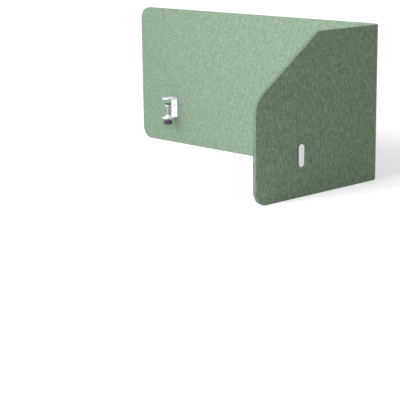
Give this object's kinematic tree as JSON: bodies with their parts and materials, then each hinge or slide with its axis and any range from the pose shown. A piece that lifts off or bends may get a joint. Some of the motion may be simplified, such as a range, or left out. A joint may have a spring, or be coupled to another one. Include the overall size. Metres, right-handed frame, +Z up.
{
  "type": "folding desk partition",
  "caption": "Desk-clamped folding privacy screen: low fabric-covered back panel joined by a soft fold to a side panel with a sloping front corner, held by screw clamps",
  "frame": {"origin": "middle of the bounding box in plan, level with the panels' bottom edges", "axes": "+X along the back panel towards the fold, +Y to the rear, +Z up; the side panel runs from the fold towards -Y"},
  "size_m": [1.2052, 0.5972, 0.516],
  "materials": {
    "cover_fabric": "sage green melange woven upholstery fabric, matt",
    "felt_pad": "off-white pressed polyester felt",
    "core_board": "plain fibreboard",
    "hinge_steel": "bright zinc-plated steel",
    "white_steel": "white powder coat, satin",
    "rubber_pad": "matt black rubber",
    "zinc_steel": "zinc-plated steel",
    "knob_plastic": "black moulded plastic, fine texture"
  },
  "bodies": {
    "back_panel": {"back_core": "core_board", "back_front_pad": "felt_pad", "back_rear_pad": "felt_pad", "back_front_cover": "cover_fabric", "back_rear_cover": "cover_fabric", "back_edge_band": "cover_fabric", "lower_hinge_back_leaf": "hinge_steel", "middle_hinge_back_leaf": "hinge_steel", "upper_hinge_back_leaf": "hinge_steel", "back_hinge_pins": "hinge_steel", "back_hinge_screws": "hinge_steel", "left_clamp_bracket": "white_steel", "left_clamp_tongue_pad": "rubber_pad", "left_clamp_weld_nut": "white_steel", "left_clamp_cover_plate": "white_steel", "left_clamp_gasket": "rubber_pad", "left_clamp_bolts": "zinc_steel", "right_clamp_bracket": "white_steel", "right_clamp_tongue_pad": "rubber_pad", "right_clamp_weld_nut": "white_steel", "right_clamp_cover_plate": "white_steel", "right_clamp_gasket": "rubber_pad", "right_clamp_bolts": "zinc_steel"},
    "fold_spine": {"back_fold_sleeve": "cover_fabric", "side_fold_sleeve": "cover_fabric", "lower_hinge_link": "hinge_steel", "middle_hinge_link": "hinge_steel", "upper_hinge_link": "hinge_steel"},
    "side_panel": {"side_core": "core_board", "side_inner_pad": "felt_pad", "side_outer_pad": "felt_pad", "side_inner_cover": "cover_fabric", "side_outer_cover": "cover_fabric", "side_edge_band": "cover_fabric", "lower_hinge_side_leaf": "hinge_steel", "middle_hinge_side_leaf": "hinge_steel", "upper_hinge_side_leaf": "hinge_steel", "side_hinge_pins": "hinge_steel", "side_hinge_screws": "hinge_steel", "side_clamp_bracket": "white_steel", "side_clamp_tongue_pad": "rubber_pad", "side_clamp_weld_nut": "white_steel", "side_clamp_cover_plate": "white_steel", "side_clamp_gasket": "rubber_pad", "side_clamp_bolts": "zinc_steel"},
    "left_clamp_shoe": {"left_clamp_foot": "zinc_steel", "left_clamp_foot_pad": "rubber_pad"},
    "left_clamp_screw": {"left_clamp_spindle": "zinc_steel", "left_clamp_knob": "knob_plastic"},
    "right_clamp_shoe": {"right_clamp_foot": "zinc_steel", "right_clamp_foot_pad": "rubber_pad"},
    "right_clamp_screw": {"right_clamp_spindle": "zinc_steel", "right_clamp_knob": "knob_plastic"},
    "side_clamp_shoe": {"side_clamp_foot": "zinc_steel", "side_clamp_foot_pad": "rubber_pad"},
    "side_clamp_screw": {"side_clamp_spindle": "zinc_steel", "side_clamp_knob": "knob_plastic"}
  },
  "joints": [
    {"name": "back_fold", "type": "hinge", "parent": "back_panel", "child": "fold_spine", "pos_m": [0.57102, 0.2864, 0], "axis": [0, 0, 1], "range_deg": [-35, 45], "deforming": ["back_fold_sleeve"]},
    {"name": "side_fold", "type": "hinge", "parent": "fold_spine", "child": "side_panel", "pos_m": [0.5904, 0.26702, 0], "axis": [0, 0, 1], "range_deg": [-35, 45], "deforming": ["side_fold_sleeve"]},
    {"name": "left_clamp_travel", "type": "slide", "parent": "back_panel", "child": "left_clamp_shoe", "axis": [0, 0, 1], "range_m": [-0.03, 0.008]},
    {"name": "left_clamp_turn", "type": "hinge", "parent": "left_clamp_shoe", "child": "left_clamp_screw", "pos_m": [-0.4126, 0.2414, 0.145], "axis": [0, 0, 1], "range_deg": [-8641, 2305]},
    {"name": "right_clamp_travel", "type": "slide", "parent": "back_panel", "child": "right_clamp_shoe", "axis": [0, 0, 1], "range_m": [-0.03, 0.008]},
    {"name": "right_clamp_turn", "type": "hinge", "parent": "right_clamp_shoe", "child": "right_clamp_screw", "pos_m": [0.4074, 0.2414, 0.145], "axis": [0, 0, 1], "range_deg": [-8641, 2305]},
    {"name": "side_clamp_travel", "type": "slide", "parent": "side_panel", "child": "side_clamp_shoe", "axis": [0, 0, 1], "range_m": [-0.03, 0.008]},
    {"name": "side_clamp_turn", "type": "hinge", "parent": "side_clamp_shoe", "child": "side_clamp_screw", "pos_m": [0.5454, -0.1001, 0.145], "axis": [0, 0, 1], "range_deg": [-8641, 2305]}
  ],
  "couplings": [
    {"joint": "side_fold", "follows": "back_fold", "ratio": 1},
    {"joint": "left_clamp_turn", "follows": "left_clamp_travel", "rad_per_m": 5026.5},
    {"joint": "right_clamp_turn", "follows": "right_clamp_travel", "rad_per_m": 5026.5},
    {"joint": "side_clamp_turn", "follows": "side_clamp_travel", "rad_per_m": 5026.5}
  ]
}
